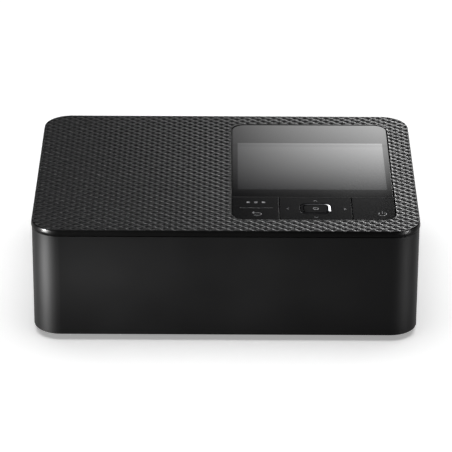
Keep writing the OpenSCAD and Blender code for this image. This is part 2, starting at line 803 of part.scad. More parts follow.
module plate_holes() {
  translate([grip_y, grip_z]) circle(journal_r + run_gap);
  translate([grip_y, pinch_z]) circle(pinch_pin_r + run_gap);
  translate([pickup_y, pickup_z]) circle(journal_r + run_gap);
  translate([print_y, platen_z]) circle(journal_r + run_gap);
  translate([cam_y, cam_z]) circle(journal_r + run_gap);
  translate([pivot_y, pivot_z]) circle(pivot_r);
}

module plate_feet(x0, x1) {
  for (y = [grip_y - 20, takeup_y - 6]) box(x0, x1, y, y + 9, floor_z, floor_z + plate_t);
}

module side_plate_left() {
  color(steel) {
    along_x(-plate_x - plate_t, -plate_x) difference() {
      plate_outline();
      plate_holes();
      translate([takeup_y, spool_z]) circle(journal_r + run_gap);
    }
    // stud that carries the supply side of the film case
    rod_x(-plate_x - 0.1, -case_x - 2.4, supply_y, spool_z, spool_r - 0.1);
    plate_feet(-plate_x - 6, -plate_x - plate_t / 2);
  }
}

module side_plate_right() {
  color(steel)
  along_x(plate_x, plate_x + plate_t) difference() {
    plate_outline();
    plate_holes();
    // way for the film case
    translate([supply_y - case_r - 2, path_z - 0.2]) square([spool_pitch + 2 * case_r + 3, 2 * case_r + 3.2]);
  }
  // stud of the eject lever
  color(steel) rod_x(bay_x - 0.1, bay_x + 2.7, lever_y, lever_z, stud_r);
}

module gear_bracket() {
  color(steel) {
    along_x(bracket_x, bracket_x + plate_t) difference() {
      union() {
        translate([feed_y - 12, floor_z]) square([24, feed_z + 8 - floor_z]);
        translate([film_y - 12, floor_z]) square([24, film_z + 8 - floor_z]);
        translate([film_y - 4, film_z]) square([22, head_z + 8 - film_z]);
        translate([feed_y, floor_z]) square([film_y - feed_y, 11]);
      }
      translate([feed_y, feed_z]) circle(boss_r + 0.1);
      translate([film_y, film_z]) circle(boss_r + 0.1);
      translate([head_y, head_z]) circle(boss_r + 0.1);
      translate([takeup_y, spool_z]) circle(stub_r + run_gap);
    }
    // spacers that hold it off the side plate
    for (p = [[feed_y + 8, floor_z + 7.9], [film_y - 14, floor_z + 4.9], [pivot_y + 11, pivot_z + 0.5]])
      rod_x(bracket_x + plate_t, -plate_x - plate_t, p[0], p[1], 1.6);
  }
}

module head_pivot() {
  color(steel) rod_x(-plate_x - plate_t, plate_x + plate_t, pivot_y, pivot_z, pivot_r);
}

module grip_roller() {
  color(steel) {
    rod_x(-plate_x + 0.5, plate_x - 0.5, grip_y, grip_z, grip_r);
    rod_x(gear_x - 0.6, plate_x + plate_t + 0.8, grip_y, grip_z, journal_r);
  }
}

module grip_gear() {
  color(white_plastic) gear_x_at(grip_y, grip_z, grip_n, 0, journal_r);
}

module pinch_roller() {
  color(rubber) {
    for (x = [-44:22:44]) rod_x(x - 6, x + 6, grip_y, pinch_z, pinch_r);
    rod_x(-plate_x - plate_t, plate_x + plate_t, grip_y, pinch_z, pinch_pin_r);
  }
}

module pickup_shaft() {
  color(steel) rod_x(gear_x - 0.6, plate_x + plate_t + 0.8, pickup_y, pickup_z, journal_r);
}

module pickup_tyres() {
  color(rubber)
  for (x = [-24, 12])
    translate([0, pickup_y, pickup_z]) along_x(x, x + 12) difference() {
      circle(pickup_r);
      circle(journal_r);
    }
}

module pickup_gear() {
  color(white_plastic)
  gear_x_at(pickup_y, pickup_z, pickup_n, mesh_phase(0, grip_n, pickup_n, 180 - pickup_a), journal_r);
}

module platen_shaft() {
  color(steel) rod_x(-plate_x - plate_t - 0.8, plate_x + plate_t + 0.8, print_y, platen_z, journal_r);
}

module platen_rubber() {
  color(rubber)
  translate([0, print_y, platen_z]) along_x(-head_x, head_x) difference() {
    circle(platen_r);
    circle(journal_r);
  }
}

// a motor can with its boss, end bearing and terminals, on the gear bracket
module motor(y, z, r) {
  color(steel) {
    rod_x(motor_x, bracket_x, y, z, r);
    rod_x(bracket_x, bracket_x + plate_t, y, z, boss_r);
    rod_x(motor_x - 0.8, motor_x, y, z, 2);
    for (i = [-1, 1]) box(motor_x - 1.4, motor_x + 0.1, y + i * 4 - 0.4, y + i * 4 + 0.4, z + 1, z + 2.6);
  }
}

module pinion(y, z, n, phase) {
  color(white_plastic) {
    gear_x_at(y, z, n, phase, 0.8);
    rod_x(bracket_x + plate_t + 0.1, gear_x + gear_w, y, z, 1);
  }
}

module feed_motor() {
  motor(feed_y, feed_z, 10);
}

module feed_pinion() {
  pinion(feed_y, feed_z, pinion_n, mesh_phase(0, grip_n, pinion_n, feed_a));
}

module film_motor() {
  motor(film_y, film_z, 9);
}

module film_pinion() {
  pinion(film_y, film_z, pinion_n, mesh_phase(0, takeup_n, pinion_n, film_a));
}

module head_motor() {
  motor(head_y, head_z, 6);
}

module head_pinion() {
  pinion(head_y, head_z, pinion_n, mesh_phase(0, cam_n, pinion_n, head_a));
}

module takeup_gear() {
  color(white_plastic) {
    gear_x_at(takeup_y, spool_z, takeup_n, 0, stub_r - 0.1);
    rod_x(bracket_x, gear_x + 0.1, takeup_y, spool_z, stub_r);
    rod_x(gear_x + 0.1, -plate_x, takeup_y, spool_z, journal_r);
    // driving dog inside the side plate
    translate([0, takeup_y, spool_z]) along_x(-plate_x - 0.1, -case_x) {
      square([4.4, 1.6], center = true);
    }
  }
}

module film_case() {
  color([0.75, 0.75, 0.72])
  difference() {
    union() {
      along_x(-case_x, case_x) for (y = [supply_y, takeup_y]) translate([y, spool_z]) difference() {
        circle(case_r);
        circle(case_r - case_t);
        translate([-1.6, -case_r - 1]) square([3.2, 4]);
      }
      for (x = [-case_x - end_t, case_x]) along_x(x, x + end_t) {
        translate([supply_y, spool_z]) circle(case_r);
        translate([takeup_y, spool_z]) circle(case_r);
        translate([supply_y, spool_z + case_r - 7]) square([spool_pitch, 3]);
      }
      // grip at the door
      along_x(case_x + end_t, case_x + 7) difference() {
        union() {
          translate([supply_y, spool_z]) circle(5);
          translate([takeup_y, spool_z]) circle(5);
          translate([supply_y, spool_z - 2]) square([spool_pitch, 4]);
        }
        translate([supply_y, spool_z]) circle(spool_r + 0.3);
        translate([takeup_y, spool_z]) circle(spool_r + 0.3);
      }
    }
    for (y = [supply_y, takeup_y]) rod_x(-case_x - 2, case_x + 2, y, spool_z, spool_r + run_gap);
  }
}

module spool(y, r) {
  rod_x(-case_x - 2.2, case_x + 2.2, y, spool_z, spool_r);
  rod_x(-case_x + 2, case_x - 2, y, spool_z, r);
}

module supply_spool() {
  color([0.55, 0.35, 0.5]) spool(supply_y, supply_r);
}

module takeup_spool() {
  color([0.55, 0.35, 0.5])
  difference() {
    spool(takeup_y, used_r);
    // socket for the driving dog
    translate([0, takeup_y, spool_z]) along_x(-case_x - 4, -case_x + 2) square([5.2, 2], center = true);
  }
}

module film() {
  color([0.35, 0.2, 0.35]) box(-film_x, film_x, supply_y, takeup_y, path_z + 0.25, path_z + 0.45);
}

// the head assembly is drawn as it prints and swung up to rest
module head_at_rest() {
  translate([0, pivot_y, pivot_z]) rotate([-head_swing, 0, 0]) translate([0, -pivot_y, -pivot_z]) children();
}

module head_arm() {
  color(steel)
  head_at_rest() difference() {
    union() {
      box(-arm_x, arm_x, print_y - 5, pivot_y - 3, arm_z, arm_z + 1.2);
      for (x = [-arm_x, arm_x - 1.5]) along_x(x, x + 1.5) {
        polygon([[pivot_y - 12, arm_z], [pivot_y - 3, arm_z], [pivot_y + 2, pivot_z - 2.2],
          [cam_y + 3, pivot_z - 2.2], [cam_y + 3, pivot_z + 2], [pivot_y, pivot_z + 3.2],
          [pivot_y - 12, arm_z + 1.2]]);
        translate([pivot_y, pivot_z]) circle(3.2);
      }
    }
    rod_x(-body_w, body_w, pivot_y, pivot_z, pivot_r + run_gap);
  }
}

module heat_sink() {
  color([0.75, 0.76, 0.78])
  head_at_rest() difference() {
    box(-head_x, head_x, print_y - 4, print_y + 4, path_z + 0.8 + head_t, arm_z);
    for (x = [3 - head_x:6:head_x - 3]) box(x - 2, x + 2, print_y - 5, print_y - 1.2, path_z + 7, arm_z - 3);
  }
}

module thermal_head() {
  color([0.8, 0.78, 0.7])
  head_at_rest() box(-head_x, head_x, print_y - 3.4, print_y + 3.4, path_z + 0.8, path_z + 0.8 + head_t);
}

// plan of a cam whose radius grows evenly through its turn
module cam2d() {
  turn = cam_turn + 60;
  polygon(concat([[0, 0]], [for (a = [-30:10:turn - 30])
    [(cam_r + cam_rise * min(max(a, 0), cam_turn) / cam_turn) * cos(90 - a),
      (cam_r + cam_rise * min(max(a, 0), cam_turn) / cam_turn) * sin(90 - a)]]));
  circle(cam_r - 0.6);
}

module cam_shaft() {
  color(white_plastic) gear_x_at(cam_y, cam_z, cam_n, 0, journal_r - 0.01);
  color(steel) {
    rod_x(gear_x - 0.4, plate_x + plate_t + 0.8, cam_y, cam_z, journal_r);
    for (x = [-arm_x - 1, arm_x - 2.5]) translate([0, cam_y, cam_z]) along_x(x, x + 3.5) cam2d();
  }
}

module eject_lever() {
  color(white_plastic)
  difference() {
    union() {
      along_x(bay_x + 0.1, bay_x + 2.1) {
        translate([lever_y, lever_z]) polygon([[-0.5, 11], [8, 11], [8, 8.5], [2.2, 7], [2, 1], [-0.5, 0]]);
        translate([lever_y, lever_z]) circle(2 * stud_r);
      }
      box(bay_x + 0.1, bay_x + 6, lever_y - 0.5, lever_y + 2.2, lever_z + 3, lever_z + 8);
    }
    rod_x(bay_x - 1, bay_x + 9, lever_y, lever_z, stud_r + run_gap);
  }
}

base_tray();
outer_shell();
top_cover();
front_cover();
front_bezel();
ink_door();
rear_flap();
ink_door_pin();
rear_flap_pin();
rubber_feet();
base_screws();
panel_frame();
display_window();
lcd_module();
menu_key();
nav_web();
nav_key();
ok_ring();
ok_key();
power_key();
key_membrane();
tact_switches();
switch_board();
card_socket();
main_board();
board_parts();
dc_jack();
usb_socket();
side_plate_left();
side_plate_right();
gear_bracket();
head_pivot();
grip_roller();
grip_gear();
pinch_roller();
pickup_shaft();
pickup_tyres();
pickup_gear();
platen_shaft();
platen_rubber();
feed_motor();
feed_pinion();
film_motor();
film_pinion();
head_motor();
head_pinion();
film_case();
supply_spool();
takeup_spool();
takeup_gear();
film();
head_arm();
heat_sink();
thermal_head();
cam_shaft();
eject_lever();
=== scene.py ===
import json
import math
import bmesh
import bpy
import numpy as np
from mathutils import Matrix, Vector


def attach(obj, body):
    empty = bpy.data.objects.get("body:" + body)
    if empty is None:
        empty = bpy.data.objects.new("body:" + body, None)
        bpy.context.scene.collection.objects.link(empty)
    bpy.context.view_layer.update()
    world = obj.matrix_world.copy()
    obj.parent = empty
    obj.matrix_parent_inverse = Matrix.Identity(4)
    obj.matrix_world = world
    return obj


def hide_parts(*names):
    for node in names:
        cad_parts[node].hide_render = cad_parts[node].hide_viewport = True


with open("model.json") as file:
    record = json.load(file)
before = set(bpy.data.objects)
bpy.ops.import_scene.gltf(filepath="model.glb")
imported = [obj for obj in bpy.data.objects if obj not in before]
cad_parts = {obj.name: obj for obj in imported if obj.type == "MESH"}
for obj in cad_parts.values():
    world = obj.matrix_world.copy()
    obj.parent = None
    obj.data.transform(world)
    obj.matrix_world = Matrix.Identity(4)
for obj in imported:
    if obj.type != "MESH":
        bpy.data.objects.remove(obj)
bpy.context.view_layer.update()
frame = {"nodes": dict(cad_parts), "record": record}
mm = 0.001
print("frame loaded:", len(frame["nodes"]), "nodes")


def hexColour(code):  # sRGB hex to the linear values that the shaders take
    parts = [int(code[i:i + 2], 16) / 255 for i in (1, 3, 5)]
    return [c / 12.92 if c <= 0.04045 else ((c + 0.055) / 1.055) ** 2.4 for c in parts] + [1.0]


def addNode(tree, kind, settings=None, links=None):  # one node, its values, and what feeds its inputs
    node = tree.nodes.new(kind)
    for key, value in (settings or {}).items():
        if isinstance(key, int) or key in node.inputs:
            node.inputs[key].default_value = value
        else:
            setattr(node, key, value)
    for key, source in (links or {}).items():
        tree.links.new(source, node.inputs[key])
    return node


def newMaterial(name):
    mat = bpy.data.materials.new(name)
    mat.use_nodes = True
    mat.node_tree.nodes.clear()
    return mat, mat.node_tree


def place(name, bm, body, mat, replaces=None, smooth=35):
    mesh = bpy.data.meshes.new(name)
    bmesh.ops.recalc_face_normals(bm, faces=bm.faces)
    bm.to_mesh(mesh)
    bm.free()
    piece = bpy.data.objects.new(name, mesh)
    bpy.context.scene.collection.objects.link(piece)
    mesh.transform(Matrix.Scale(mm, 4))
    mesh.materials.append(mat)
    mesh.shade_smooth()
    if smooth:
        mesh.set_sharp_from_angle(angle=math.radians(smooth))
    for face in mesh.polygons:  # level faces stay flat, so their edges don't bend a reflection
        if abs(face.normal.z) > 0.9999:
            face.use_smooth = False
    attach(piece, body)
    if replaces:
        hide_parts(replaces)


# shape helpers, all in mm

def loopPoints(w, d, r, cx=0.0, cy=0.0, steps=10):  # rounded rectangle, anticlockwise, 4 * (steps + 1) points
    points = []
    for k, (sx, sy) in enumerate([(1, 1), (-1, 1), (-1, -1), (1, -1)]):
        for i in range(steps + 1):
            a = math.radians(90 * k + 90 * i / steps)
            points.append((cx + sx * (w / 2 - r) + r * math.cos(a), cy + sy * (d / 2 - r) + r * math.sin(a)))
    return points


def sweepLoops(bm, loops):  # skin a list of closed loops of (x, y, z)
    rings = [[bm.verts.new(p) for p in loop] for loop in loops]
    for a, b in zip(rings, rings[1:]):
        n = len(a)
        for i in range(n):
            bm.faces.new((a[i], a[(i + 1) % n], b[(i + 1) % n], b[i]))
    return rings


def capRing(bm, ring):
    bm.faces.new(ring)


def ringSolid(bm, outer, steps=10):  # outer is a list of (w, d, r, cx, cy, z); both ends are closed
    loops = [[(x, y, z) for x, y in loopPoints(w, d, r, cx, cy, steps)] for w, d, r, cx, cy, z in outer]
    rings = sweepLoops(bm, loops)
    capRing(bm, rings[0])
    capRing(bm, rings[-1])


def roundDistance(x, y, w, d, r, cx=0.0, cy=0.0):  # signed distance to a rounded rectangle
    qx = np.abs(x - cx) - (w / 2 - r)
    qy = np.abs(y - cy) - (d / 2 - r)
    return np.hypot(np.maximum(qx, 0), np.maximum(qy, 0)) + np.minimum(np.maximum(qx, qy), 0) - r


# camera: degrees and mm

view = {
    "turn": 0.017, "rise": 25.959, "roll": 0.258, "reach": 1413.9, "aim": (0.125, 0.0, 28.04),
    "lens": 230.5, "sensor": 36, "farthest": 20000,
}


def makeCamera(v):
    turn, rise, roll = (math.radians(v[k]) for k in ("turn", "rise", "roll"))
    back = Vector((math.sin(turn) * math.cos(rise), -math.cos(turn) * math.cos(rise), math.sin(rise)))
    level = Vector((math.cos(turn), math.sin(turn), 0))
    upright = back.cross(level)
    right = level * math.cos(roll) + upright * math.sin(roll)
    up = upright * math.cos(roll) - level * math.sin(roll)
    cam = bpy.data.cameras.new("camera")
    cam.lens = v["lens"]
    cam.sensor_width = v["sensor"]
    cam.clip_end = v["farthest"] * mm
    obj = bpy.data.objects.new("camera", cam)
    bpy.context.scene.collection.objects.link(obj)
    spot = (Vector(v["aim"]) + back * v["reach"]) * mm
    obj.matrix_world = Matrix.Translation(spot) @ Matrix((right, up, back)).transposed().to_4x4()
    bpy.context.scene.camera = obj


makeCamera(view)
bpy.context.scene.view_settings.view_transform = "Standard"

studio = {
    "world": 0.12, "paper": "#f6f6f6", "paperLift": 0.34, "paperHalf": 9.0,
    # name: place (m), aim (m), width, height, watts
    "lamps": {
        "overhead": ((0.0, 0.1, 2.4), (0, 0, 0), 2.4, 2.4, 54),
        "leftStrip": ((-0.5, -0.29, 0.03), (-0.096, -0.052, 0.03), 0.16, 0.05, 1.05),
        "rightStrip": ((0.5, -0.29, 0.03), (0.096, -0.052, 0.03), 0.16, 0.05, 0.17),
    },
    # gridded lamps give the front corners their sheen; spread in degrees
    "gridded": ("leftStrip", "rightStrip"), "spread": 12,
    # softboxes behind the printer, for the screen, the ring round the confirm key and the lattice's flanks;
    # a fade is an axis, where the light ends and where it is full (m)
    "cards": {
        "softbox": {"y": 2.25, "x": (-0.06, 0.3), "z": (0.5, 1.16), "level": 9.8,
                    "fades": ((0, -0.045, 0.3), (0, 0.25, 0.21), (2, 1.139, 0.975))},
        "smallStrip": {"y": 2.25, "x": (0.57, 0.8), "z": (0.88, 1.2), "level": 24.0,
                       "fades": ((2, 1.2, 1.16),)},
        "sideSoftbox": {"y": 2.25, "x": (0.12, 0.6), "z": (0.1, 0.94), "level": 11.0,
                        "fades": ((0, 0.14, 0.42),)},
    },
}


def addFade(tree, value, a, b, way="SMOOTHSTEP"):  # 0 at a, 1 at b
    return addNode(tree, "ShaderNodeMapRange", {"interpolation_type": way, "From Min": a, "From Max": b},
                   {"Value": value}).outputs[0]


def addMath(tree, what, a, b, clamp=False):
    settings = {"operation": what, "use_clamp": clamp}
    links = {}
    for k, term in enumerate((a, b)):
        if isinstance(term, (int, float)):
            settings[k] = term
        else:
            links[k] = term
    return addNode(tree, "ShaderNodeMath", settings, links).outputs[0]


def makeSheet(name, corners, mat):
    mesh = bpy.data.meshes.new(name)
    mesh.from_pydata(corners, [], [(0, 1, 2, 3)])
    mesh.materials.append(mat)
    sheet = bpy.data.objects.new(name, mesh)
    bpy.context.scene.collection.objects.link(sheet)
    return sheet


def makeStudio(s):
    scene = bpy.context.scene
    world = bpy.data.worlds.new("studio")
    scene.world = world
    world.use_nodes = True
    tree = world.node_tree
    tree.nodes.clear()
    back = addNode(tree, "ShaderNodeBackground", {"Color": hexColour("#ffffff"), "Strength": s["world"]})
    addNode(tree, "ShaderNodeOutputWorld", None, {"Surface": back.outputs[0]})
    for name, (spot, aim, w, h, watts) in s["lamps"].items():
        lamp = bpy.data.lights.new(name, "AREA")
        lamp.shape = "RECTANGLE"
        lamp.size, lamp.size_y, lamp.energy = w, h, watts
        obj = bpy.data.objects.new(name, lamp)
        scene.collection.objects.link(obj)
        if name in s["gridded"]:
            lamp.spread = math.radians(s["spread"])
            obj.visible_diffuse = False
        obj.location = spot
        obj.rotation_euler = (Vector(aim) - Vector(spot)).to_track_quat("-Z", "Y").to_euler()
    # seamless paper: lit like any sheet, and lifted to white where it is seen, also in reflections
    mat, tree = newMaterial("seamless paper")
    rays = addNode(tree, "ShaderNodeLightPath")
    seen = addMath(tree, "ADD", rays.outputs["Is Camera Ray"], rays.outputs["Is Glossy Ray"], True)
    seen = addMath(tree, "ADD", seen, rays.outputs["Is Transmission Ray"], True)
    lift = addMath(tree, "MULTIPLY", seen, s["paperLift"])
    skin = addNode(tree, "ShaderNodeBsdfPrincipled",
                   {"Base Color": hexColour(s["paper"]), "Roughness": 0.9, "Specular IOR Level": 0.1,
                    "Emission Color": hexColour("#ffffff")}, {"Emission Strength": lift})
    addNode(tree, "ShaderNodeOutputMaterial", None, {"Surface": skin.outputs[0]})
    half = s["paperHalf"]
    makeSheet("floor", [(-half, -half, 0), (half, -half, 0), (half, half, 0), (-half, half, 0)], mat)
    # the softboxes show in reflections alone
    for name, card in s["cards"].items():
        mat, tree = newMaterial(name + " cloth")
        where = addNode(tree, "ShaderNodeTexCoord")
        axes = addNode(tree, "ShaderNodeSeparateXYZ", None, {0: where.outputs["Object"]})
        glow = card["level"]
        for axis, a, b in card["fades"]:
            glow = addMath(tree, "MULTIPLY", addFade(tree, axes.outputs[axis], a, b, "LINEAR"), glow)
        skin = addNode(tree, "ShaderNodeEmission", {"Color": hexColour("#ffffff")}, {"Strength": glow})
        addNode(tree, "ShaderNodeOutputMaterial", None, {"Surface": skin.outputs[0]})
        (x0, x1), (z0, z1), y = card["x"], card["z"], card["y"]
        sheet = makeSheet(name, [(x0, y, z0), (x1, y, z0), (x1, y, z1), (x0, y, z1)], mat)
        sheet.visible_camera = sheet.visible_diffuse = sheet.visible_shadow = False


makeStudio(studio)
print("camera, floor and lamps set")


# materials; grain is in mm

def mouldedPlastic(name, colour, rough, grain, bump, grime=0.06, gloss=0.5):
    # injection moulded in a spark-eroded tool: an even fine grain that softens every reflection
    mat, tree = newMaterial(name)
    where = addNode(tree, "ShaderNodeTexCoord")
    cells = addNode(tree, "ShaderNodeTexNoise", {"Scale": 1000 / grain, "Detail": 3.0, "Roughness": 0.6},
                    {"Vector": where.outputs["Object"]})
    cloud = addNode(tree, "ShaderNodeTexNoise", {"Scale": 22.0, "Detail": 2.0},
                    {"Vector": where.outputs["Object"]})
    level = addNode(tree, "ShaderNodeMapRange", {"From Min": 0.3, "From Max": 0.7, "To Min": rough * 0.9,
                    "To Max": rough * 1.12}, {"Value": cloud.outputs["Fac"]})
    dark = [c * (1 - grime) for c in hexColour(colour)[:3]] + [1.0]
    tint = addNode(tree, "ShaderNodeMix", {"data_type": "RGBA", 6: dark, 7: hexColour(colour)},
                   {0: cells.outputs["Fac"]})
    links = {"Base Color": tint.outputs[2], "Roughness": level.outputs[0]}
    if bump:
        relief = addNode(tree, "ShaderNodeBump", {"Strength": bump, "Distance": 0.00005},
                         {"Height": cells.outputs["Fac"]})
        links["Normal"] = relief.outputs[0]
    skin = addNode(tree, "ShaderNodeBsdfPrincipled", {"IOR": 1.5, "Specular IOR Level": gloss}, links)
    addNode(tree, "ShaderNodeOutputMaterial", None, {"Surface": skin.outputs[0]})
    return mat


def screenWindow(name, colour, rough, box):
    # hard-coated acrylic over a display: the glass of the display shines back through it inside the box (mm)
    mat, tree = newMaterial(name)
    where = addNode(tree, "ShaderNodeTexCoord")
    axes = addNode(tree, "ShaderNodeSeparateXYZ", None, {0: where.outputs["Object"]})
    x0, x1, y0, y1 = (v * mm for v in box)
    soft = 0.15 * mm
    inside = addFade(tree, axes.outputs[0], x0 - soft, x0 + soft)
    for axis, a, b in ((0, x1 + soft, x1 - soft), (1, y0 - soft, y0 + soft), (1, y1 + soft, y1 - soft)):
        inside = addMath(tree, "MULTIPLY", inside, addFade(tree, axes.outputs[axis], a, b))
    shine = addNode(tree, "ShaderNodeMapRange", {"To Min": 0.3, "To Max": 1.0}, {"Value": inside})
    # black mask of the display along its rear edge, 3 mm deep
    near, far, blur = y1 - 1.4 * mm, y1 - 4.4 * mm, 0.2 * mm
    band = addMath(tree, "MULTIPLY", addFade(tree, axes.outputs[1], far - blur, far + blur),
                   addFade(tree, axes.outputs[1], near + blur, near - blur))
    loss = addNode(tree, "ShaderNodeMapRange", {"To Min": 1.0, "To Max": 0.84}, {"Value": band})
    tint = addNode(tree, "ShaderNodeMix", {"data_type": "RGBA", 6: hexColour(colour), 7: hexColour("#121316")},
                   {0: inside})
    wave = addNode(tree, "ShaderNodeTexNoise", {"Scale": 30.0, "Detail": 1.0},
                   {"Vector": where.outputs["Object"]})
    level = addNode(tree, "ShaderNodeMapRange", {"To Min": rough * 0.8, "To Max": rough * 1.2},
                    {"Value": wave.outputs["Fac"]})
    skin = addNode(tree, "ShaderNodeBsdfPrincipled", {"IOR": 1.49},
                   {"Base Color": tint.outputs[2], "Roughness": level.outputs[0],
                    "Specular IOR Level": addMath(tree, "MULTIPLY", shine.outputs[0], loss.outputs[0])})
    addNode(tree, "ShaderNodeOutputMaterial", None, {"Surface": skin.outputs[0]})
    return mat


def embossedPlastic(name, colours, top, depth, ridge, pit):
    # black plastic from a tool with an etched lattice: smooth ridges and flanks, dull floors in the pits;
    # ridge and pit are roughness and gloss; colours are ridge and pit, the pits painted darker as painted
    # shade
    mat, tree = newMaterial(name)
    where = addNode(tree, "ShaderNodeTexCoord")
    axes = addNode(tree, "ShaderNodeSeparateXYZ", None, {0: where.outputs["Object"]})
    floor, shoulder = top - depth, top - 0.45 * depth
    high = addFade(tree, axes.outputs[2], floor * mm, shoulder * mm)
    grain = addNode(tree, "ShaderNodeTexNoise", {"Scale": 3500.0, "Detail": 2.0},
                    {"Vector": where.outputs["Object"]})
    relief = addNode(tree, "ShaderNodeBump", {"Strength": 0.1, "Distance": 0.00004},
                     {"Height": grain.outputs["Fac"]})
    rough = addNode(tree, "ShaderNodeMapRange", {"To Min": pit[0], "To Max": ridge[0]}, {"Value": high})
    gloss = addNode(tree, "ShaderNodeMapRange", {"To Min": pit[1], "To Max": ridge[1]}, {"Value": high})
    # painted shade: the base colour falls by height from the ridge colour to the darker pit colour, standing
    # in for shade in the hollows
    light, dark = (hexColour(code) for code in colours)
    tint = addNode(tree, "ShaderNodeMix", {"data_type": "RGBA", 6: dark, 7: light}, {0: high})
    skin = addNode(tree, "ShaderNodeBsdfPrincipled", {"IOR": 1.5},
                   {"Base Color": tint.outputs[2], "Roughness": rough.outputs[0],
                    "Specular IOR Level": gloss.outputs[0], "Normal": relief.outputs[0]})
    addNode(tree, "ShaderNodeOutputMaterial", None, {"Surface": skin.outputs[0]})
    return mat


def drawnMetal(name, colour, rough, stretch=(1, 60, 60)):
    # rolled and drawn metal: fine lines along X that drag the highlight out
    mat, tree = newMaterial(name)
    where = addNode(tree, "ShaderNodeTexCoord")
    line = addNode(tree, "ShaderNodeMapping", {"Scale": stretch}, {"Vector": where.outputs["Object"]})
    streak = addNode(tree, "ShaderNodeTexNoise", {"Scale": 60.0, "Detail": 4.0}, {"Vector": line.outputs[0]})
    level = addNode(tree, "ShaderNodeMapRange", {"To Min": rough - 0.08, "To Max": rough + 0.1},
                    {"Value": streak.outputs["Fac"]})
    relief = addNode(tree, "ShaderNodeBump", {"Strength": 0.15, "Distance": 0.00003},
                     {"Height": streak.outputs["Fac"]})
    skin = addNode(tree, "ShaderNodeBsdfPrincipled", {"Base Color": hexColour(colour), "Metallic": 1.0},
                   {"Roughness": level.outputs[0], "Normal": relief.outputs[0]})
    addNode(tree, "ShaderNodeOutputMaterial", None, {"Surface": skin.outputs[0]})
    return mat


absSatin = mouldedPlastic("black ABS, spark-eroded satin", "#050506", 0.42, 0.35, 0.2, gloss=0.06)
# lattice: a ridge colour, and a darker pit colour that is painted shade
absEmbossed = embossedPlastic("black ABS, embossed lattice", ("#141415", "#0b0b0c"), 57.6, 0.32, (0.29, 0.28),
                              (0.5, 0.04))
absPolished = mouldedPlastic("black ABS, polished lip", "#030303", 0.31, 0.5, 0.0, gloss=0.045)
acrylicKey = mouldedPlastic("black acrylic key cap", "#0d0d0e", 0.12, 0.5, 0.0, gloss=0.03)
acrylicWindow = screenWindow("hard-coated acrylic window", "#050506", 0.05, (5.7, 77.0, -20.1, 33.5))
displayGlass = mouldedPlastic("display glass", "#15161a", 0.08, 0.5, 0.0)
greyInk = mouldedPlastic("pad-printed grey ink", "#6a6a6c", 0.5, 0.2, 0.05)
faintInk = mouldedPlastic("pad-printed dark grey ink", "#303032", 0.5, 0.2, 0.05)
rubberFoot = mouldedPlastic("moulded rubber", "#191919", 0.75, 0.3, 0.4)
acetal = mouldedPlastic("natural acetal, moulded gear", "#e4e2da", 0.35, 0.4, 0.1)
boardMask = mouldedPlastic("solder mask over copper", "#12492a", 0.3, 1.5, 0.2, grime=0.4)
chipEpoxy = mouldedPlastic("moulded epoxy", "#1c1c1d", 0.55, 0.2, 0.2)
siliconeSheet = mouldedPlastic("silicone sheet", "#8a8a8a", 0.6, 0.4, 0.1)
greyCase = mouldedPlastic("grey polystyrene", "#a9a9a4", 0.45, 0.4, 0.15)
dyeFilm = mouldedPlastic("dye film on its core", "#5b3558", 0.2, 2.0, 0.05)
glazed = mouldedPlastic("glazed ceramic strip", "#cfc8b4", 0.15, 1.0, 0.02)
zincSteel = drawnMetal("zinc-plated steel", "#b9babd", 0.32)
alloy = drawnMetal("extruded aluminium", "#d0d2d5", 0.3)
darkChrome = drawnMetal("black-chromed plastic ring", "#3c3c3e", 0.12)
print("materials made")

slotMaterial = {
    "satin_black": absSatin, "textured_black": absPolished, "gloss_black": acrylicKey, "window": acrylicWindow,
    "rubber": rubberFoot, "steel": zincSteel, "bright_ring": darkChrome, "white_plastic": acetal,
    "board": boardMask, "chips": chipEpoxy, "lcd": displayGlass, "case_grey": greyCase, "film": dyeFilm,
    "alloy": alloy, "ceramic": glazed, "membrane": siliconeSheet,
}
for part in frame["record"]["subparts"]:
    node = frame["nodes"][part["node"]]
    node.data.materials.clear()
    node.data.materials.append(slotMaterial[part["material_slot"]])

# top cover: embossed field, polished lip, rim inside the walls and screw posts (mm)

cover = {
    "w": 182.2, "d": 133.0, "h": 57.6, "corner": 13.5, "lip": 2.8, "edge": 0.7, "lean": (0.27, 1.3),
    "plate": 2.2, "wall": 3.8,
    # opening for the panel: width, depth, radius and centre, and how far its edge is eased
    "panel": (77.5, 109.3, 6.8, 41.35, 1.15), "open": 0.22,
    "pitchX": 5.26, "pitchY": 4.24, "depth": 0.32, "land": 0.42, "flank": 0.8, "runOut": 0.9, "steps": 14,
    # width, depth and centre of each rim
    "rims": ((1.4, 112, -87.6, 6), (1.4, 112, 87.6, 6), (148, 1.4, 0, 63)), "rimDeep": 3.0,
    "posts": ((-82, 57.5), (82, 57.5), (-83, -51), (83, -51)), "postWide": 5.6, "postFoot": 4.15,
}


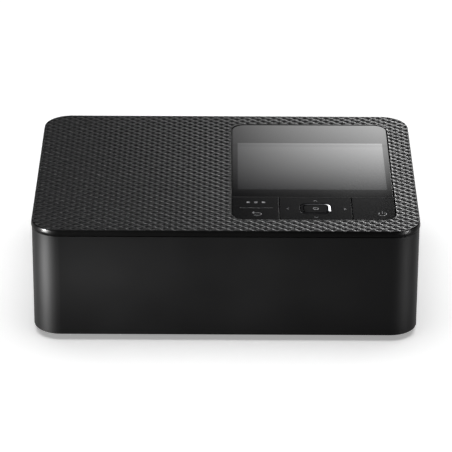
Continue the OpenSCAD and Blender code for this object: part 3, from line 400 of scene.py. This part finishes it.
def makeCoverField(c):
    pw, pd, pr, px, py = c["panel"]
    rim = c["edge"]
    # the grid divides the pitch, so that its diagonals run along the ridges
    nx = int(c["w"] / 2 / c["pitchX"] * c["steps"]) + 1
    ny = int(c["d"] / 2 / c["pitchY"] * c["steps"]) + 1
    xs = np.arange(-nx, nx + 1) * c["pitchX"] / c["steps"]
    ys = np.arange(-ny, ny + 1) * c["pitchY"] / c["steps"]
    nx, ny = len(xs), len(ys)
    x, y = (g.ravel() for g in np.meshgrid(xs, ys))

    def opening(x, y):  # positive outside the panel's opening
        return roundDistance(x, y, pw + 2 * c["open"], pd + 2 * c["open"], pr + c["open"], px, py)

    def field(x, y):  # negative inside the embossed area
        out = roundDistance(x, y, c["w"] - 2 * rim, c["d"] - 2 * rim, c["corner"] - rim)
        return np.maximum(out, -opening(x, y))

    mid = field(*(g.ravel() for g in np.meshgrid((xs[1:] + xs[:-1]) / 2, (ys[1:] + ys[:-1]) / 2))) < 0
    cell = np.arange((nx - 1) * (ny - 1))[mid]
    a = cell // (nx - 1) * nx + cell % (nx - 1)
    quads = np.stack([a, a + 1, a + nx + 1, a + nx], 1)
    used, count = np.unique(quads, return_counts=True)
    edge = used[count < 4]
    tiny = 0.01
    for _ in range(4):  # draw the ragged edge onto the true outline
        f = field(x[edge], y[edge])
        gx = (field(x[edge] + tiny, y[edge]) - field(x[edge] - tiny, y[edge])) / (2 * tiny)
        gy = (field(x[edge], y[edge] + tiny) - field(x[edge], y[edge] - tiny)) / (2 * tiny)
        n = np.maximum(gx * gx + gy * gy, 0.25)
        x[edge] -= f * gx / n
        y[edge] -= f * gy / n
    # slivers that this has flattened or turned over are left out
    qx, qy = x[quads], y[quads]
    area = ((qx[:, 2] - qx[:, 0]) * (qy[:, 3] - qy[:, 1]) - (qx[:, 3] - qx[:, 1]) * (qy[:, 2] - qy[:, 0])) / 2
    least = 0.04 * np.median(area)
    quads = quads[area > least]
    used = np.unique(quads)
    u = x / c["pitchX"] + y / c["pitchY"]
    v = x / c["pitchX"] - y / c["pitchY"]
    across = 1 / math.hypot(1 / c["pitchX"], 1 / c["pitchY"])
    du = np.abs(u - np.round(u)) * across
    dv = np.abs(v - np.round(v)) * across
    near = np.minimum(du, dv)
    pit = np.clip((near - c["land"]) / c["flank"], 0, 1)
    pit = pit * pit * (3 - 2 * pit)
    drop = c["depth"] * pit * np.clip(opening(x, y) / c["runOut"], 0, 1)
    index = np.full(nx * ny, -1)
    index[used] = np.arange(len(used))
    points = np.stack([x[used], y[used], c["h"] - drop[used]], 1) * mm
    mesh = bpy.data.meshes.new("coverField")
    mesh.from_pydata(points.tolist(), [], index[quads].tolist())
    mesh.shade_smooth()
    mesh.materials.append(absEmbossed)
    piece = bpy.data.objects.new("coverField", mesh)
    bpy.context.scene.collection.objects.link(piece)
    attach(piece, "casing")
    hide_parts("top_cover")


def makeCoverLip(c):
    bm = bmesh.new()

    def ring(inset, z):
        w, d, r = c["w"] - 2 * inset, c["d"] - 2 * inset, c["corner"] - inset
        return [(x, y, z) for x, y in loopPoints(w, d, r, steps=24)]

    # from the inner wall that cuts off the lattice over the rounded edge, the leaning face and the foot
    h, low, edge, wall, under = c["h"], c["h"] - c["lip"], c["edge"], c["wall"], c["h"] - c["plate"]
    slant, fall = c["lean"]
    turn = math.pi / 2 - math.atan2(slant, fall)
    r = (edge - slant) / math.sin(turn)
    profile = [(edge, h - c["depth"] - 0.05)]
    profile += [(edge - r * math.sin(turn * i / 5), h - r + r * math.cos(turn * i / 5)) for i in range(6)]
    profile += [(0, profile[-1][1] - fall), (0, low + 0.25), (0.08, low + 0.07), (0.25, low)]
    profile += [(wall, low), (wall, under), (edge + 0.01, under)]
    sweepLoops(bm, [ring(inset, z) for inset, z in profile])
    # edge of the opening
    pw, pd, pr, px, py = c["panel"]
    r = c["open"]
    angles = [math.radians(a) for a in range(0, 91, 15)]
    inner = [(r - r * math.sin(a), h - r + r * math.cos(a)) for a in angles] + [(0, under)]
    sweepLoops(bm, [[(x, y, z) for x, y in loopPoints(pw + 2 * i, pd + 2 * i, pr + i, px, py, 16)]
                    for i, z in reversed(inner)])
    for w, d, x, y in c["rims"]:
        ringSolid(bm, [(w, d, 0.3, x, y, z) for z in (low - c["rimDeep"], low)], 3)
    wide = c["postWide"]
    for x, y in c["posts"]:
        ringSolid(bm, [(wide, wide, wide / 2 - 0.01, x, y, z) for z in (c["postFoot"], under - 0.1)], 8)
    place("coverLip", bm, "casing", absPolished, "top_cover")


makeCoverField(cover)
makeCoverLip(cover)
print("top cover made")

# control panel: window, key caps, ring and printed marks (mm)

panel = {
    "left": 2.9, "right": 79.8, "front": -53.2, "back": 55.5, "corner": 6.5, "small": 0.3, "split": -29.0,
    "top": 57.4, "thick": 1.6, "soft": 0.2, "gap": 0.25, "navLeft": 25.35, "navRight": 59.45,
    # centre of the confirm key; width, depth and radius of the cap and of the hole round it
    "okSpot": (42.4, -41.1), "ok": (11.3, 8.3, 2.0), "ringHole": (14.7, 11.7, 3.6),
    # width, depth and radius of the ring, its foot and top, and its profile as inset and height below the top
    "ring": (14.2, 11.2, 3.4), "ringFoot": 55.2, "ringTop": 57.55,
    "ringProfile": ((0, 0.34), (0.05, 0.27), (1.02, 0.01), (1.08, 0), (1.2, 0.1)),
    # stems that press the switches: centre and radius
    "menuStems": ((14, -34.1, 1.4), (14, -48.1, 1.4)), "powerStems": ((69.7, -41.1, 1.6),),
    "navStems": ((56.4, -41.1, 1.4), (28.4, -41.1, 1.4), (45.8, -32.5, 1), (45.8, -49.7, 1)), "stemFoot": 54.3,
    "inkLift": 0.03,
}


def plateLoop(x0, x1, y0, y1, radii, inset, steps=8):
    # radii run back right, back left, front left, front right
    points = []
    spots = [(x1 - inset, y1 - inset, -1, -1), (x0 + inset, y1 - inset, 1, -1), (x0 + inset, y0 + inset, 1, 1),
             (x1 - inset, y0 + inset, -1, 1)]
    for k, (x, y, sx, sy) in enumerate(spots):
        r = max(radii[k] - inset, 0.08)
        for i in range(steps + 1):
            a = math.radians(90 * k + 90 * i / steps)
            points.append((x + sx * r + r * math.cos(a), y + sy * r + r * math.sin(a)))
    return points


def makePlate(name, body, mat, node, box, radii, hole=None, stems=(), p=panel):
    # a moulded cap: rounded along its upper edge, square below
    bm = bmesh.new()
    soft, top, low = p["soft"], p["top"], p["top"] - p["thick"]
    angles = [math.radians(a) for a in range(0, 91, 30)]
    edge = [(soft - soft * math.sin(a), top - soft + soft * math.cos(a)) for a in angles] + [(0, low)]
    loops = [[(x, y, z) for x, y in plateLoop(*box, radii, inset)] for inset, z in edge]
    if hole:
        w, d, r = hole
        inner = [[(x, y, z) for x, y in loopPoints(w + 2 * i, d + 2 * i, r + i, *p["okSpot"], 8)]
                 for i, z in edge]
        rings = sweepLoops(bm, inner[::-1] + loops)
        n = len(rings[0])
        for i in range(n):
            bm.faces.new((rings[0][i], rings[0][(i + 1) % n], rings[-1][(i + 1) % n], rings[-1][i]))
    else:
        rings = sweepLoops(bm, loops)
        capRing(bm, rings[0])
        capRing(bm, rings[-1])
    for x, y, r in stems:
        ringSolid(bm, [(2 * r, 2 * r, r * 0.99, x, y, z) for z in (p["stemFoot"], low + 0.05)], 5)
    place(name, bm, body, mat, node)


def makePanel(p):
    left, right, front, back, split, gap = (p[k] for k in ("left", "right", "front", "back", "split", "gap"))
    navLeft, navRight, c, s = p["navLeft"], p["navRight"], p["corner"], p["small"]
    makePlate("windowPlate", "casing", acrylicWindow, "display_window",
              (left, right, split + gap, back), (c, c, s, s))
    makePlate("menuCap", "menu_key", acrylicKey, "menu_key", (left, navLeft - gap, front, split),
              (s, s, c, s), stems=p["menuStems"])
    makePlate("powerCap", "power_key", acrylicKey, "power_key",
              (navRight + gap, right, front, split), (s, s, s, c), stems=p["powerStems"])
    makePlate("navCap", "nav_key", acrylicKey, "nav_key", (navLeft, navRight, front, split),
              (s, s, s, s), p["ringHole"], p["navStems"])
    # confirm key: cap with an eased edge, and its stem
    x, y = p["okSpot"]
    w, d, r = p["ok"]
    bm = bmesh.new()
    edge = ((0, 55.8), (0, 57.1), (0.1, 57.3), (0.35, 57.4))
    ringSolid(bm, [(w - 2 * i, d - 2 * i, r - i, x, y, z) for i, z in edge])
    ringSolid(bm, [(3.2, 3.2, 1.59, x, y, z) for z in (p["stemFoot"], 55.85)], 5)
    place("okCap", bm, "ok_key", acrylicKey, "ok_key")
    # ring round the confirm key, one broad bevel that falls outwards
    bm = bmesh.new()
    w, d, r = p["ring"]
    foot, top, profile = p["ringFoot"], p["ringTop"], p["ringProfile"]
    loops = [(0, foot)] + [(i, top - z) for i, z in profile] + [(profile[-1][0], foot)]
    sweep = [[(px, py, z) for px, py in loopPoints(w - 2 * i, d - 2 * i, r - i, x, y, 12)] for i, z in loops]
    sweepLoops(bm, sweep + sweep[:1])
    bmesh.ops.remove_doubles(bm, verts=bm.verts, dist=1e-5)
    place("okRing", bm, "casing", darkChrome, "ok_ring")


def inkLine(bm, points, width, closed=False, lift=panel["inkLift"], top=panel["top"]):
    # a printed stroke: a thin band along the points, mitred at the corners
    n = len(points)
    left, right = [], []
    for i, p in enumerate(points):
        a = Vector(points[i - 1] if closed or i else points[i])
        b = Vector(points[(i + 1) % n] if closed or i < n - 1 else points[i])
        here = Vector(p)
        d1 = (here - a).normalized() if (here - a).length > 0 else (b - here).normalized()
        d2 = (b - here).normalized() if (b - here).length > 0 else d1
        t = (d1 + d2).normalized()
        side = Vector((-t.y, t.x)) * (width / 2 / max(0.35, t.dot(d1)))
        left.append(here + side)
        right.append(here - side)
    rows = [[bm.verts.new((q.x, q.y, top + z)) for q in row] for z in (0.0, lift) for row in (left, right)]
    for i in range(n if closed else n - 1):
        j = (i + 1) % n
        for a, b, flip in ((2, 3, False), (0, 1, True), (0, 2, False), (1, 3, True)):
            face = (rows[a][i], rows[a][j], rows[b][j], rows[b][i])
            bm.faces.new(face[::-1] if flip else face)


def arcPoints(x, y, r, a0, a1, steps):
    angles = [math.radians(a0 + (a1 - a0) * i / steps) for i in range(steps + 1)]
    return [(x + r * math.cos(a), y + r * math.sin(a)) for a in angles]


def arrowHead(x, y, dx, dy, back=0.4, tip=0.5, half=0.9):  # a small chevron that points along dx, dy
    return [(x - dx * back + dy * half, y - dy * back + dx * half), (x + dx * tip, y + dy * tip),
            (x - dx * back - dy * half, y - dy * back - dx * half)]


# name, body, ink and strokes; a stroke is its points, its width and whether it is closed
marks = [
    ("menuMarks", "menu_key", greyInk, [
        ([(9.8, -34.6), (11.4, -34.6)], 1.6, False),
        ([(13.4, -34.6), (15.0, -34.6)], 1.6, False),
        ([(17.0, -34.6), (18.6, -34.6)], 1.6, False),
        ([(13.3, -44.9), (12.5, -46.0), (13.3, -47.1)], 0.45, False),
        ([(12.6, -46.0)] + arcPoints(15.4, -47.3, 1.3, 90, -90, 10) + [(13.2, -48.6)], 0.45, False)]),
    ("menuDivider", "menu_key", faintInk, [([(6.5, -40.7), (22.4, -40.7)], 0.3, False)]),
    ("navMarks", "nav_key", greyInk, [
        (arrowHead(42.4, -32.7, 0, 1), 0.32, False),
        (arrowHead(42.4, -50.6, 0, -1), 0.32, False),
        (arrowHead(29.3, -41.4, -1, 0), 0.32, False),
        (arrowHead(56.1, -41.6, 1, 0), 0.32, False)]),
    ("okMark", "ok_key", greyInk, [(arcPoints(42.4, -41.1, 1.15, 0, 342, 19), 0.42, True)]),
    ("powerMark", "power_key", greyInk, [
        (arcPoints(73.6, -46.6, 1.9, 125, 415, 28), 0.42, False),
        ([(73.6, -43.9), (73.6, -46.2)], 0.42, False)]),
]

makePanel(panel)
for name, body, ink, strokes in marks:
    bm = bmesh.new()
    for points, width, closed in strokes:
        inkLine(bm, points, width, closed)
    place(name, bm, body, ink, smooth=None)
print("panel and keys made")
